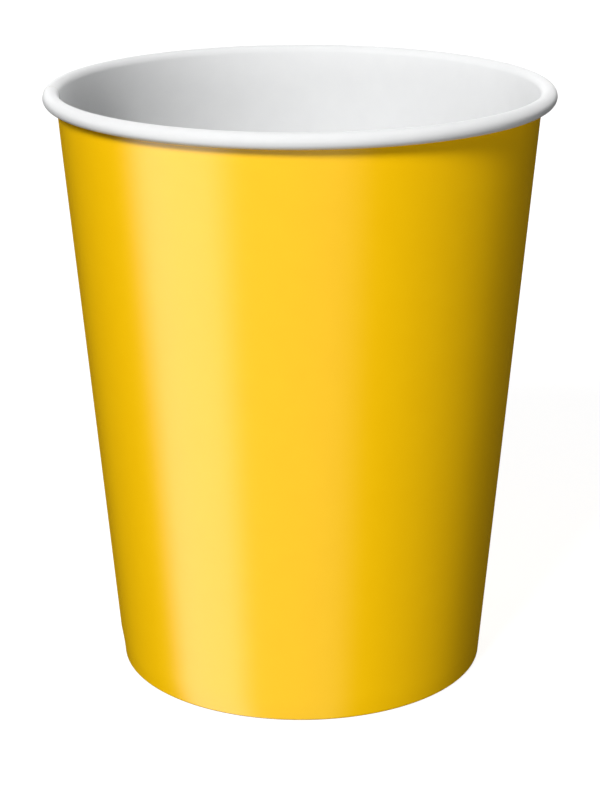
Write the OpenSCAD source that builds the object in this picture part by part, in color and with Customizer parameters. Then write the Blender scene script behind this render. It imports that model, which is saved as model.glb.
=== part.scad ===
// Disposable paper cup. One printed paperboard blank is rolled into a conical side wall:
// its ends lap at a side seam, its top edge is curled outward into the rim, and its bottom
// edge is turned in and up to grip the skirt of a flat base disc.
// Lengths are in millimetres. The origin is at the middle of the foot, with +Z up.

/* [Cup] */
// Outside diameter across the rolled rim
rim_d = 78; // [72:0.5:90]
// Height from the table to the top of the rim
cup_h = 92.6; // [75:0.1:120]
// Outside diameter of the wall where it meets the table
foot_d = 57.8; // [50:0.1:64]

/* [Paperboard] */
// Thickness of the side wall's board
wall_t = 0.34; // [0.26:0.02:0.42]
// Thickness of the base's board
base_t = 0.28; // [0.24:0.02:0.36]
// Thickness of the film that seals the layers of the foot together
seal_t = 0.02; // [0.01:0.01:0.04]

/* [Rolled rim] */
// Width of the roll
roll_w = 2.5; // [2.2:0.1:3]
// Height of the roll
roll_h = 2.6; // [2.3:0.1:3.4]
// Angle through which the board turns in the roll
roll_turn = 405; // [380:5:425]
// Gap between the turns of the roll
roll_gap = 0.06; // [0.04:0.01:0.1]

/* [Foot] */
// Height of the hollow under the base
recess_h = 6.5; // [5:0.5:10]
// Distance from the edge of the turned-in hem up to the base
hem_gap = 1.5; // [1:0.1:2.5]
// Inside radius of the fold that the cup stands on
fold_r = 0.08; // [0.06:0.01:0.1]
// Inside radius of the bend between the base and its skirt
bend_r = 0.5; // [0.3:0.1:0.8]

/* [Side seam] */
// Width of the lap, at half the cup's height
lap_w = 8; // [5:0.5:12]
// Width over which the outer layer comes down beside the inner layer's edge
ramp_w = 3.5; // [2.5:0.5:6]
// Direction of the seam, counted from the right side of the cup
seam_angle = 175; // [0:5:355]

/* [Hidden] */

print_yellow = "gold";
board_white = "whitesmoke";
round_steps = 128;
arc_step = 10;

rim_r = rim_d / 2;
foot_r = foot_d / 2;

// Middle of the roll's section, and its half axes along the middle of the board.
roll_mid = [rim_r - roll_w / 2, cup_h - roll_h / 2];
roll_a = (roll_w - wall_t) / 2;
roll_b = (roll_h - wall_t) / 2;
// The board's turn at which the roll starts to draw in, and at which it lies one layer further in.
tuck_from = 180;
tuck_to = 320;

// Lean of the wall: its outside starts at the foot and its middle runs smoothly into the roll.
foot_to_roll = roll_mid - [foot_r, 0];
function lean_for(reach) =
    atan2(foot_to_roll.x, foot_to_roll.y) - asin((reach - wall_t / 2) / norm(foot_to_roll));
upright_lean = lean_for(roll_a);
lean = lean_for(norm([roll_a * cos(upright_lean), roll_b * sin(upright_lean)]));

// Angles round the roll's section, from the top of the wall over the rim to the tucked edge.
roll_start = 180 - atan(roll_b / roll_a * tan(lean));
roll_end = 180 - roll_turn;
roll_first = arc_step * (ceil(roll_start / arc_step) - 1);
roll_angles = concat(roll_start, [for (a = [roll_first:-arc_step:roll_end + 1]) a], roll_end);

// The foot is three layers thick: wall, skirt of the base, and turned-in hem.
skirt_depth = wall_t + seal_t;
hem_depth = skirt_depth + base_t + seal_t;
foot_t = hem_depth + wall_t;
fold_out = fold_r + wall_t;
hem_top = recess_h - hem_gap;
skirt_end = wall_t + fold_r + seal_t;

// The seam's edges, as angles round the cup at half its height.
seam_r = (foot_r + rim_r) / 2;
lap_turn = lap_w / seam_r * 180 / PI;
ramp_turn = ramp_w / seam_r * 180 / PI;
lap_edge = seam_angle - lap_turn / 2;
ramp_edge = lap_edge + lap_turn;
ramp_shift = wall_t / cos(lean) / ramp_w * seam_r;
seam_top = roll_mid.y;
base_top = recess_h + base_t;

// A point at a height, at a depth behind the outside of the wall.
function beside_wall(depth, z) = [foot_r + z * tan(lean) - depth / cos(lean), z];

function arc(middle, radius, from, to) =
    let (steps = ceil(abs(to - from) / arc_step))
    [for (i = [0:steps])
        let (a = from + (to - from) * i / steps)
        middle + radius * [cos(a), sin(a)]];

function reversed(points) = [for (i = [len(points) - 1:-1:0]) points[i]];

function eased(share) = let (s = min(max(share, 0), 1)) s * s * (3 - 2 * s);

// A point on the middle of the board at an angle round the roll's section.
function roll_point(a) =
    let (drawn_in = (wall_t + roll_gap) * eased((180 - a - tuck_from) / (tuck_to - tuck_from)))
    roll_mid + [(roll_a - drawn_in) * cos(a), (roll_b - drawn_in) * sin(a)];

// Unit vector from the middle of the board towards its printed face, which lies inside the roll.
function roll_inward(a) =
    let (ahead = roll_point(a - 1) - roll_point(a + 1))
    [ahead.y, -ahead.x] / norm(ahead);

// The same face of the board as it goes on through the roll.
function roll_face(shift) = [for (a = roll_angles) roll_point(a) + shift * roll_inward(a)];

// Middles of the bends in section: under the hem, under the wall, and at the edge of the base.
hem_fold_mid = beside_wall(foot_t - fold_out, fold_out);
wall_fold_mid = beside_wall(fold_out, fold_out);
bend_mid = beside_wall(skirt_depth + base_t + bend_r, recess_h - bend_r);

// One face of the side wall's board in section, from the hem's edge round the fold and up the
// wall to the roll. A positive shift is towards the printed face.
function wall_face(shift) = concat(
    [beside_wall(hem_depth + wall_t / 2 + shift, hem_top)],
    arc(hem_fold_mid, fold_r + wall_t / 2 + shift, 180 - lean, 270),
    arc(wall_fold_mid, fold_r + wall_t / 2 + shift, 270, 360 - lean),
    [roll_face(shift)[0]]
);

// One face of the base's board in section, from the middle out and down the skirt.
// A positive shift is towards the inside of the cup.
function base_face(shift) = concat(
    [[0, recess_h + base_t / 2 + shift]],
    arc(bend_mid, bend_r + base_t / 2 + shift, 90, -lean),
    [beside_wall(skirt_depth + base_t / 2 - shift, skirt_end)]
);

// A board of some thickness, revolved from its two faces in section.
module revolved_board(face, back) {
    rotate_extrude($fn = round_steps) polygon(concat(face, reversed(back)));
}

// A band of the wall between two depths and two heights, round part of the cup.
module band(deep, shallow, bottom, top, from, turn) {
    rotate_extrude(angle = turn, start = from, $fn = round_steps)
        polygon([
            beside_wall(deep, bottom),
            beside_wall(shallow, bottom),
            beside_wall(shallow, top),
            beside_wall(deep, top)
        ]);
}

// A cone set off centre, so that over the ramp its side comes in by one thickness of board
// from a depth of wall.
module ramp_cone(depth) {
    toward = ramp_edge + ramp_turn / 2 - 90;
    translate(ramp_shift * [cos(toward), sin(toward), 0])
        cylinder(h = cup_h, r1 = beside_wall(depth, 0).x, r2 = beside_wall(depth, cup_h).x, $fn = round_steps);
}

// The outer layer at the seam: one more thickness of board, with a cut edge at one side and
// a ramp down to the wall at the other.
module seam_lap() {
    intersection() {
        band(wall_t / 2, -wall_t, fold_out, seam_top, lap_edge, lap_turn + ramp_turn);
        ramp_cone(-wall_t / 2);
    }
}

// The step inside the cup at the inner layer's edge, under the ramp.
module seam_groove() {
    intersection() {
        band(2 * wall_t, -wall_t, base_top, seam_top, ramp_edge, ramp_turn);
        ramp_cone(wall_t / 2);
    }
}

// The board turns its white inner face outward in the rim, so the rim shows no print.
module side_wall() {
    color(print_yellow)
        difference() {
            union() {
                revolved_board(wall_face(wall_t / 2), wall_face(-wall_t / 2));
                seam_lap();
            }
            seam_groove();
        }
    color(board_white)
        revolved_board(roll_face(wall_t / 2), roll_face(-wall_t / 2));
}

// The flat disc and its skirt, which stands between the wall and the hem.
module base() {
    color(board_white)
        revolved_board(base_face(base_t / 2), base_face(-base_t / 2));
}

side_wall();
base();
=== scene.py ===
import math

import bpy
import numpy as np
from mathutils import Matrix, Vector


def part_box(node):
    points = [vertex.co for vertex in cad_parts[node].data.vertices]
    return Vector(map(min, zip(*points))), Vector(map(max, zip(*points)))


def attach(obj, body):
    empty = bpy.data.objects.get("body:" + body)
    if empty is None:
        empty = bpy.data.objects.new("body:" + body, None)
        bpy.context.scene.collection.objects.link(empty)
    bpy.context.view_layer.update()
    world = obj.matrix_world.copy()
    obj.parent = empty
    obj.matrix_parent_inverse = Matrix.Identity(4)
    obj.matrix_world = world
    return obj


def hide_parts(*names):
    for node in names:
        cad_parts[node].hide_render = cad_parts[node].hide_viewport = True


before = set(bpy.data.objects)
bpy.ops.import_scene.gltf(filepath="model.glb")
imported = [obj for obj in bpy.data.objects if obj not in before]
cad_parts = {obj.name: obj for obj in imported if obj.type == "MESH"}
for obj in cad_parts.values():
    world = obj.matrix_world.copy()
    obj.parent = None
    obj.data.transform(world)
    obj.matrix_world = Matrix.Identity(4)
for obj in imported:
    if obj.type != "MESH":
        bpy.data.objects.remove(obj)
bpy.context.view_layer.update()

# Side wall
# One blank of printed paperboard rolled into a cone. Its ends lap at a heat-sealed side seam, its top
# edge is curled outward into the rim, and its bottom edge is turned in and up as a hem.
wall_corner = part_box("side_wall")[1]
rim_radius = wall_corner[0]
cup_height = wall_corner[2]
foot_radius = 0.0289
wall_board = 0.00034
base_board = 0.00028
seal_film = 0.00002
gripped_depth = base_board + 2 * seal_film

roll_width = 0.0025
roll_height = 0.0026
roll_gap = 0.00006
roll_turn = math.radians(405)
roll_end = math.pi - roll_turn
roll_step = math.radians(7.5)
slope_step = 0.01
tuck_from = math.radians(180)
tuck_to = math.radians(320)

hem_top = 0.005
fold_inside = 0.00008
fold_rows = 7
hem_rows = 6
wall_rows = 26
same_way = 0.999
crease = math.radians(40)

lap_width = 0.008
ramp_width = 0.0035
seam_angle = math.radians(175)
lap_gap = 0.000004
thinning_width = 0.001
scarf_slant = 0.8
lap_starts = (0.0012, 0.004)
lap_ends = (0.0875, 0.0905)

columns_per_turn = 400
knurl_ridges = 100
knurl_depth = 0.0001
knurl_band = ((0.0009, 0.0012), (0.0041, 0.0044))
unevenness = 0.00003
uneven_band = ((0.012, 0.035), (0.06, 0.086))
uneven_waves = ((0.6, 3, 0.4), (0.4, 7, 2.1))


def eased(share):
    """A share from 0 to 1 that starts and stops gently."""
    held = np.clip(share, 0.0, 1.0)
    return held * held * (3.0 - 2.0 * held)


def between(value, first, last):
    """1 where a value lies well inside a pair of limits, each a start and an end, and 0 outside them."""
    rise = eased((value - first[0]) / (first[1] - first[0]))
    fall = eased((value - last[0]) / (last[1] - last[0]))
    return rise * (1.0 - fall)


roll_mid = np.array([rim_radius - roll_width / 2, cup_height - roll_height / 2])
roll_axes = np.array([(roll_width - wall_board) / 2, (roll_height - wall_board) / 2])
foot_to_roll = roll_mid - np.array([foot_radius, 0.0])


def lean_for(reach):
    """Lean of a wall whose outside starts at the foot and whose middle passes the roll at a reach."""
    run = math.atan2(foot_to_roll[0], foot_to_roll[1])
    return run - math.asin((reach - wall_board / 2) / math.hypot(*foot_to_roll))


upright_lean = lean_for(roll_axes[0])
lean = lean_for(math.hypot(roll_axes[0] * math.cos(upright_lean), roll_axes[1] * math.sin(upright_lean)))
roll_start = math.pi - math.atan(roll_axes[1] / roll_axes[0] * math.tan(lean))


def beside_wall(depth, height):
    """Radius and height of a point at a depth behind the outside of the wall."""
    return np.array([foot_radius + height * math.tan(lean) - depth / math.cos(lean), height])


def toward(angle):
    """Unit vector at an angle in the cup's section."""
    return np.array([math.cos(angle), math.sin(angle)])


def roll_point(angle):
    """A point on the middle of the board at an angle round the roll's section."""
    drawn_in = (wall_board + roll_gap) * eased((math.pi - angle - tuck_from) / (tuck_to - tuck_from))
    return roll_mid + (roll_axes - drawn_in) * toward(angle)


def roll_inward(angle):
    """Unit vector from the middle of the board to its printed face, which lies inside the roll."""
    ahead = roll_point(angle - slope_step) - roll_point(angle + slope_step)
    return np.array([ahead[1], -ahead[0]]) / np.linalg.norm(ahead)


def wall_section():
    """Rows along the middle of the board, from the hem's edge to the tucked edge of the roll: points and
    unit vectors toward the printed face."""
    hem_depth = wall_board + gripped_depth + wall_board / 2
    foot_depth = hem_depth + wall_board / 2
    fold_out = fold_inside + wall_board
    fold_radius = fold_inside + wall_board / 2
    rows = []
    for height in np.linspace(hem_top, fold_out, hem_rows, endpoint=False):
        rows.append((beside_wall(hem_depth, height), toward(math.pi - lean)))
    hem_fold = beside_wall(foot_depth - fold_out, fold_out)
    for angle in np.linspace(math.pi - lean, 1.5 * math.pi, fold_rows):
        rows.append((hem_fold + fold_radius * toward(angle), toward(angle)))
    wall_fold = beside_wall(fold_out, fold_out)
    for angle in np.linspace(1.5 * math.pi, 2 * math.pi - lean, fold_rows):
        rows.append((wall_fold + fold_radius * toward(angle), toward(angle)))
    top = roll_point(roll_start)[1]
    for height in np.linspace(fold_out, top, wall_rows + 1, endpoint=False)[1:]:
        rows.append((beside_wall(wall_board / 2, height), toward(-lean)))
    turns = math.ceil((roll_start - roll_end) / roll_step)
    for angle in np.linspace(roll_start, roll_end, turns + 1):
        rows.append((roll_point(angle), roll_inward(angle)))
    points, normals = zip(*rows)
    return np.array(points), np.array(normals)


def placed(name, data):
    """A new object of some data, put into the scene."""
    thing = bpy.data.objects.new(name, data)
    bpy.context.scene.collection.objects.link(thing)
    return thing


def board_mesh(name, front_side, back_side, closed):
    """A mesh of a board from the grids of points on its two faces. Its materials are 0 on the front, 1 on
    the back and 2 on the cut edges. A closed board goes right round, and its last rows ring its middle."""
    rows, columns = front_side.shape[:2]
    corners = np.concatenate([front_side.reshape(-1, 3), back_side.reshape(-1, 3)])
    index = np.arange(rows * columns).reshape(rows, columns)
    index = np.stack([index, index + rows * columns])
    if closed:
        index = np.concatenate([index, index[:, :, :1]], axis=2)
    front = np.stack([index[0, :-1, :-1], index[0, :-1, 1:], index[0, 1:, 1:], index[0, 1:, :-1]], axis=-1)
    back = np.stack([index[1, :-1, :-1], index[1, 1:, :-1], index[1, 1:, 1:], index[1, :-1, 1:]], axis=-1)
    faces = [front.reshape(-1, 4).tolist(), back.reshape(-1, 4).tolist(), []]
    edges = [index[:, 0]]
    if closed:
        faces[0].append(index[0, -1, 1:].tolist())
        faces[1].append(index[1, -1, :0:-1].tolist())
    else:
        edges += [index[:, -1, ::-1], index[:, ::-1, 0], index[:, :, -1]]
    for line in edges:
        strip = np.stack([line[0, :-1], line[1, :-1], line[1, 1:], line[0, 1:]], axis=-1)
        faces[2] += strip.tolist()
    mesh = bpy.data.meshes.new(name)
    mesh.from_pydata(corners.tolist(), [], faces[0] + faces[1] + faces[2])
    kinds = np.repeat(np.arange(3), [len(part) for part in faces])
    mesh.polygons.foreach_set("material_index", kinds)
    mesh.polygons.foreach_set("use_smooth", np.ones(len(kinds), dtype=bool))
    mesh.set_sharp_from_angle(angle=crease)
    mesh.update()
    return placed(name, mesh)


def turned(section, angles):
    """A section's points, given by row and column as radius and height, turned to the columns' angles."""
    radius, height = section[..., 0], section[..., 1]
    return np.stack([radius * np.cos(angles), radius * np.sin(angles), height], axis=-1)


def make_side_wall():
    """The rolled blank: it starts at the outer edge of the seam, goes once round, and ends under the lap."""
    points, normals = wall_section()
    seam_radius = (foot_radius + rim_radius) / 2
    lap_turn = lap_width / seam_radius
    ramp_turn = ramp_width / seam_radius
    thinning_turn = thinning_width / seam_radius
    whole_turn = 2 * math.pi
    columns = columns_per_turn + math.ceil(columns_per_turn * lap_turn / whole_turn)
    travel = np.linspace(0.0, whole_turn + lap_turn, columns + 1)
    angles = seam_angle - lap_turn / 2 + travel

    # On the wall the lap is two boards thick. In the hem, the folds and the roll it is pressed to one,
    # and each layer thins toward its own edge.
    height = points[:, 1:]
    on_wall = normals @ toward(-lean)[:, None] > same_way
    full = between(height, lap_starts, lap_ends) * on_wall
    over = 1.0 - eased((travel - lap_turn) / ramp_turn)
    under = eased((travel - whole_turn + thinning_turn) / thinning_turn)
    across = np.clip(np.where(travel < math.pi, travel, travel - whole_turn) / lap_turn, 0.0, 1.0)
    inner_share = 0.5 + (1.0 - full) * scarf_slant * (0.5 - across)
    inner_layer = wall_board * (1.0 + full) * inner_share
    lined_shift = -wall_board / 2 + (inner_layer + lap_gap) * over
    print_shift = wall_board / 2 + wall_board * full * over + (inner_layer - wall_board) * under

    ridge = 0.5 + 0.5 * np.cos(knurl_ridges * angles)
    in_hem = normals @ toward(math.pi - lean)[:, None] > same_way
    print_shift = print_shift - knurl_depth * between(height, *knurl_band) * in_hem * ridge

    wave = sum(share * np.sin(count * angles + start) for share, count, start in uneven_waves)
    sway = unevenness * between(height, *uneven_band) * on_wall * wave
    print_side = points[:, None] + normals[:, None] * (print_shift + sway)[..., None]
    lined_side = points[:, None] + normals[:, None] * (lined_shift + sway)[..., None]
    return board_mesh("cup_side_wall", turned(print_side, angles), turned(lined_side, angles), closed=False)


def link(tree, source, socket, target, entry):
    """Joins an output of one node to an input of another, each given by its name or its place."""
    tree.links.new(source.outputs[socket], target.inputs[entry])


grain_detail = {"Cloud": 2.0, "Fibre": 3.0}


def board_grain():
    """Node group: the cloudiness of paperboard, a few millimetres wide, and the fibres of its surface."""
    group = bpy.data.node_groups.new("board_grain", "ShaderNodeTree")
    for name in grain_detail:
        group.interface.new_socket(name + " Scale", in_out="INPUT", socket_type="NodeSocketFloat")
        group.interface.new_socket(name, in_out="OUTPUT", socket_type="NodeSocketFloat")
    given = group.nodes.new("NodeGroupInput")
    result = group.nodes.new("NodeGroupOutput")
    place = group.nodes.new("ShaderNodeTexCoord")
    for name, detail in grain_detail.items():
        noise = group.nodes.new("ShaderNodeTexNoise")
        noise.inputs["Detail"].default_value = detail
        link(group, place, "Object", noise, "Vector")
        link(group, given, name + " Scale", noise, "Scale")
        link(group, noise, "Fac", result, name)
    return group


grain = board_grain()


def board_material(name, pale, deep, gloss, bump, cloud_scale, fibre_scale, shine=0.5):
    """A paperboard finish: colour that varies between two tones with the board's cloudiness, roughness that
    varies with its fibres between two limits, fibres raised by a bump's distance, and a level of shine."""
    material = bpy.data.materials.new(name)
    material.use_nodes = True
    tree = material.node_tree
    shader = tree.nodes["Principled BSDF"]
    shader.inputs["Specular IOR Level"].default_value = shine
    texture = tree.nodes.new("ShaderNodeGroup")
    texture.node_tree = grain
    texture.inputs["Cloud Scale"].default_value = cloud_scale
    texture.inputs["Fibre Scale"].default_value = fibre_scale
    tone = tree.nodes.new("ShaderNodeMix")
    tone.data_type = "RGBA"
    tone.inputs["A"].default_value = (*deep, 1.0)
    tone.inputs["B"].default_value = (*pale, 1.0)
    link(tree, texture, "Cloud", tone, "Factor")
    link(tree, tone, "Result", shader, "Base Color")
    rough = tree.nodes.new("ShaderNodeMapRange")
    rough.inputs["To Min"].default_value = gloss[0]
    rough.inputs["To Max"].default_value = gloss[1]
    link(tree, texture, "Fibre", rough, "Value")
    link(tree, rough, "Result", shader, "Roughness")
    relief = tree.nodes.new("ShaderNodeBump")
    relief.inputs["Strength"].default_value = 1.0
    relief.inputs["Distance"].default_value = bump
    link(tree, texture, "Fibre", relief, "Height")
    link(tree, relief, "Normal", shader, "Normal")
    return material


printed_board = board_material(
    "printed_board",
    pale=(0.98, 0.572, 0.002),
    deep=(0.96, 0.546, 0.001),
    gloss=(0.19, 0.27),
    bump=0.0000015,
    cloud_scale=260.0,
    fibre_scale=3200.0,
    shine=1.0,
)
lined_board = board_material(
    "lined_board",
    pale=(0.70, 0.705, 0.705),
    deep=(0.665, 0.67, 0.675),
    gloss=(0.28, 0.38),
    bump=0.000002,
    cloud_scale=320.0,
    fibre_scale=3000.0,
)
cut_edge = board_material(
    "cut_edge",
    pale=(0.80, 0.79, 0.76),
    deep=(0.68, 0.66, 0.61),
    gloss=(0.80, 0.95),
    bump=0.00001,
    cloud_scale=2500.0,
    fibre_scale=9000.0,
)

side_wall = make_side_wall()
for finish in (printed_board, lined_board, cut_edge):
    side_wall.data.materials.append(finish)
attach(side_wall, "root")
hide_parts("side_wall")

# Base
# A disc of white board, lined on the drink's side. Its edge is bent down into a skirt, which is heat-sealed
# between the wall and the hem, so the disc stands clear of the table.
base_underside = 0.0065
skirt_depth = wall_board + seal_film
skirt_end = wall_board + fold_inside + seal_film
bend_inside = 0.0005
bend_rows = 9
disc_rows = 12
middle_radius = 0.0015
base_columns = 240


def base_section(shift):
    """One face of the base, from the skirt's edge up and in to the middle, shifted toward the drink."""
    bend = beside_wall(skirt_depth + base_board + bend_inside, base_underside - bend_inside)
    radius = bend_inside + base_board / 2 + shift
    rows = [beside_wall(skirt_depth + base_board / 2 - shift, skirt_end)]
    for angle in np.linspace(-lean, math.pi / 2, bend_rows):
        rows.append(bend + radius * toward(angle))
    for reach in np.linspace(bend[0], middle_radius, disc_rows + 1)[1:]:
        rows.append(np.array([reach, base_underside + base_board / 2 + shift]))
    return np.array(rows)


def make_base():
    """The disc and its skirt as one bent board."""
    angles = np.linspace(0.0, 2 * math.pi, base_columns, endpoint=False)
    spread = np.ones((1, base_columns, 1))
    drink_side = base_section(base_board / 2)[:, None] * spread
    table_side = base_section(-base_board / 2)[:, None] * spread
    return board_mesh("cup_base", turned(drink_side, angles), turned(table_side, angles), closed=True)


plain_board = board_material(
    "plain_board",
    pale=(0.80, 0.79, 0.76),
    deep=(0.74, 0.73, 0.69),
    gloss=(0.62, 0.80),
    bump=0.00001,
    cloud_scale=420.0,
    fibre_scale=2600.0,
)

base = make_base()
for finish in (lined_board, plain_board, cut_edge):
    base.data.materials.append(finish)
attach(base, "root")
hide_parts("base")

# Camera
# It stands where the photograph was taken: in front of the cup, a little above its rim, looking down at it.
# The focus is counted in pixels of the photograph.
camera_distance = 0.3345
camera_height = 0.1514
camera_pitch = math.radians(18.0)
camera_roll = math.radians(-0.2)
camera_side = -0.00015
camera_focus = 2212.0
photo_height = 792
sensor_width = 36.0
nearest_seen = 0.01
farthest_seen = 20.0

lens = bpy.data.cameras.new("camera")
lens.sensor_width = sensor_width
lens.lens = camera_focus * sensor_width / photo_height
lens.clip_start = nearest_seen
lens.clip_end = farthest_seen
camera = placed("camera", lens)
camera.location = (camera_side, -camera_distance, camera_height)
level = Matrix.Rotation(math.pi / 2 - camera_pitch, 3, "X")
camera.rotation_euler = (level @ Matrix.Rotation(camera_roll, 3, "Z")).to_euler()
bpy.context.scene.camera = camera

# Floor
# A white table top that runs out of view. It shows white to the camera and takes the cup's soft shadow, and
# it sends no light back: the studio's low lamp does that.
floor_size = 6.0
floor_white = 0.25
floor_roughness = 0.9
floor_glow = 0.85


def make_floor():
    """A flat square under the cup."""
    half = floor_size / 2
    mesh = bpy.data.meshes.new("floor")
    corners = [(-half, -half, 0), (half, -half, 0), (half, half, 0), (-half, half, 0)]
    mesh.from_pydata(corners, [], [(0, 1, 2, 3)])
    return placed("floor", mesh)


def worked_out(tree, operation, *terms):
    """A math node on two terms, each a plain number or a node with the name of its output."""
    node = tree.nodes.new("ShaderNodeMath")
    node.operation = operation
    for entry, term in enumerate(terms):
        if isinstance(term, tuple):
            link(tree, *term, node, entry)
        else:
            node.inputs[entry].default_value = term
    return node, "Value"


def seen_directly(tree, path):
    """A mask of the rays that show the background: camera, glossy and transmission rays."""
    mirrored = worked_out(tree, "MAXIMUM", (path, "Is Camera Ray"), (path, "Is Glossy Ray"))
    return worked_out(tree, "MAXIMUM", mirrored, (path, "Is Transmission Ray"))


def floor_material():
    """White table: a diffuse top that holds the shadow and a glow that only direct looks see. From below it
    is clear, so the cup's underside can be looked at."""
    material = bpy.data.materials.new("floor")
    material.use_nodes = True
    tree = material.node_tree
    shader = tree.nodes["Principled BSDF"]
    shader.inputs["Base Color"].default_value = (floor_white, floor_white, floor_white, 1.0)
    shader.inputs["Roughness"].default_value = floor_roughness
    shader.inputs["Specular IOR Level"].default_value = 0.0
    path = tree.nodes.new("ShaderNodeLightPath")
    strength = worked_out(tree, "MULTIPLY", seen_directly(tree, path), floor_glow)
    glow = tree.nodes.new("ShaderNodeEmission")
    link(tree, *strength, glow, "Strength")
    top = tree.nodes.new("ShaderNodeAddShader")
    link(tree, shader, "BSDF", top, 0)
    link(tree, glow, "Emission", top, 1)
    facing = tree.nodes.new("ShaderNodeNewGeometry")
    clear = tree.nodes.new("ShaderNodeBsdfTransparent")
    sided = tree.nodes.new("ShaderNodeMixShader")
    link(tree, facing, "Backfacing", sided, 0)
    link(tree, top, "Shader", sided, 1)
    link(tree, clear, "BSDF", sided, 2)
    link(tree, sided, "Shader", tree.nodes["Material Output"], "Surface")
    return material


floor = make_floor()
floor.data.materials.append(floor_material())
floor.visible_diffuse = False
floor.visible_glossy = False
floor.visible_shadow = False

# Studio
# Soft lamps: a key above the front left, low ones at the front right and the left, two low ones and a high
# one behind, and a weak one below in place of the table's bounce. The varnish mirrors a bright panel at the
# left, a dim one in front and a white sky above.
lamp_distance = 3.6
lamp_size = 0.9
lamps = {
    "key_lamp": (-26.5, 34.0, 154.0),
    "right_lamp": (34.0, 0.0, 38.0),
    "left_lamp": (-110.0, 8.0, 27.0),
    "back_left_lamp": (-160.0, 8.0, 64.0),
    "back_right_lamp": (165.0, 8.0, 72.0),
    "high_back_lamp": (150.0, 55.0, 42.0),
    "low_lamp": (0.0, -90.0, 20.0),
}
room_light = 0.03
backdrop_white = 1.0
panel_strength = 2.1
sky_strength = 1.2
sky_blend = 0.08
bright_level = 1.0
dim_level = 0.24
dark_level = 0.003
panel_levels = (
    (-180.0, dark_level),
    (-94.0, dark_level),
    (-78.0, bright_level),
    (-46.0, bright_level),
    (-30.0, dim_level),
    (20.0, dim_level),
    (36.0, dark_level),
)


def make_lamp(name, azimuth, elevation, power):
    """A square lamp that looks at the middle of the cup. Its azimuth counts from the camera to the right."""
    data = bpy.data.lights.new(name, "AREA")
    data.size = lamp_size
    data.energy = power
    lamp = placed(name, data)
    around, up = math.radians(azimuth), math.radians(elevation)
    flat = math.cos(up) * lamp_distance
    height = cup_height / 2 + math.sin(up) * lamp_distance
    lamp.location = (math.sin(around) * flat, -math.cos(around) * flat, height)
    lamp.rotation_euler = (math.pi / 2 - up, 0.0, around)
    lamp.visible_glossy = False


def panels_by_direction(tree):
    """The brightness of the room that the varnish mirrors, by the direction round the cup, and a mask of the
    directions above the horizon."""
    place = tree.nodes.new("ShaderNodeTexCoord")
    axes = tree.nodes.new("ShaderNodeSeparateXYZ")
    link(tree, place, "Generated", axes, "Vector")
    front = worked_out(tree, "MULTIPLY", (axes, "Y"), -1.0)
    bearing = worked_out(tree, "ARCTAN2", (axes, "X"), front)
    share = tree.nodes.new("ShaderNodeMapRange")
    share.inputs["From Min"].default_value = -math.pi
    share.inputs["From Max"].default_value = math.pi
    link(tree, *bearing, share, "Value")
    ramp = tree.nodes.new("ShaderNodeValToRGB")
    while len(ramp.color_ramp.elements) < len(panel_levels):
        ramp.color_ramp.elements.new(1.0)
    for stop, (degrees, level) in zip(ramp.color_ramp.elements, panel_levels):
        stop.position = (degrees + 180.0) / 360.0
        stop.color = (level, level, level, 1.0)
    link(tree, share, "Result", ramp, "Fac")
    above = tree.nodes.new("ShaderNodeMapRange")
    above.inputs["From Min"].default_value = -sky_blend
    above.inputs["From Max"].default_value = sky_blend
    link(tree, axes, "Z", above, "Value")
    return ramp, above


def background(tree, strength):
    """A plain white light of some strength from all round."""
    node = tree.nodes.new("ShaderNodeBackground")
    node.inputs["Color"].default_value = (1.0, 1.0, 1.0, 1.0)
    node.inputs["Strength"].default_value = strength
    return node


def chosen(tree, mask, without, having):
    """One background where a mask is 0, and another where it is 1."""
    node = tree.nodes.new("ShaderNodeMixShader")
    link(tree, *mask, node, 0)
    link(tree, without, 0, node, 1)
    link(tree, having, 0, node, 2)
    return node


def make_room():
    """The world: white where it is seen, panels and sky where it is mirrored, and a weak even light."""
    world = bpy.data.worlds.new("studio")
    world.use_nodes = True
    world.cycles.sampling_method = "NONE"
    tree = world.node_tree
    path = tree.nodes.new("ShaderNodeLightPath")
    panels = background(tree, panel_strength)
    levels, above = panels_by_direction(tree)
    link(tree, levels, "Color", panels, "Color")
    white = background(tree, backdrop_white)
    mirrored = chosen(tree, (above, "Result"), panels, background(tree, sky_strength))
    backdrop = chosen(tree, (path, "Is Glossy Ray"), white, mirrored)
    room = chosen(tree, seen_directly(tree, path), background(tree, room_light), backdrop)
    link(tree, room, "Shader", tree.nodes["World Output"], "Surface")
    return world


for name, (azimuth, elevation, power) in lamps.items():
    make_lamp(name, azimuth, elevation, power)
bpy.context.scene.world = make_room()
bpy.context.scene.view_settings.view_transform = "Standard"
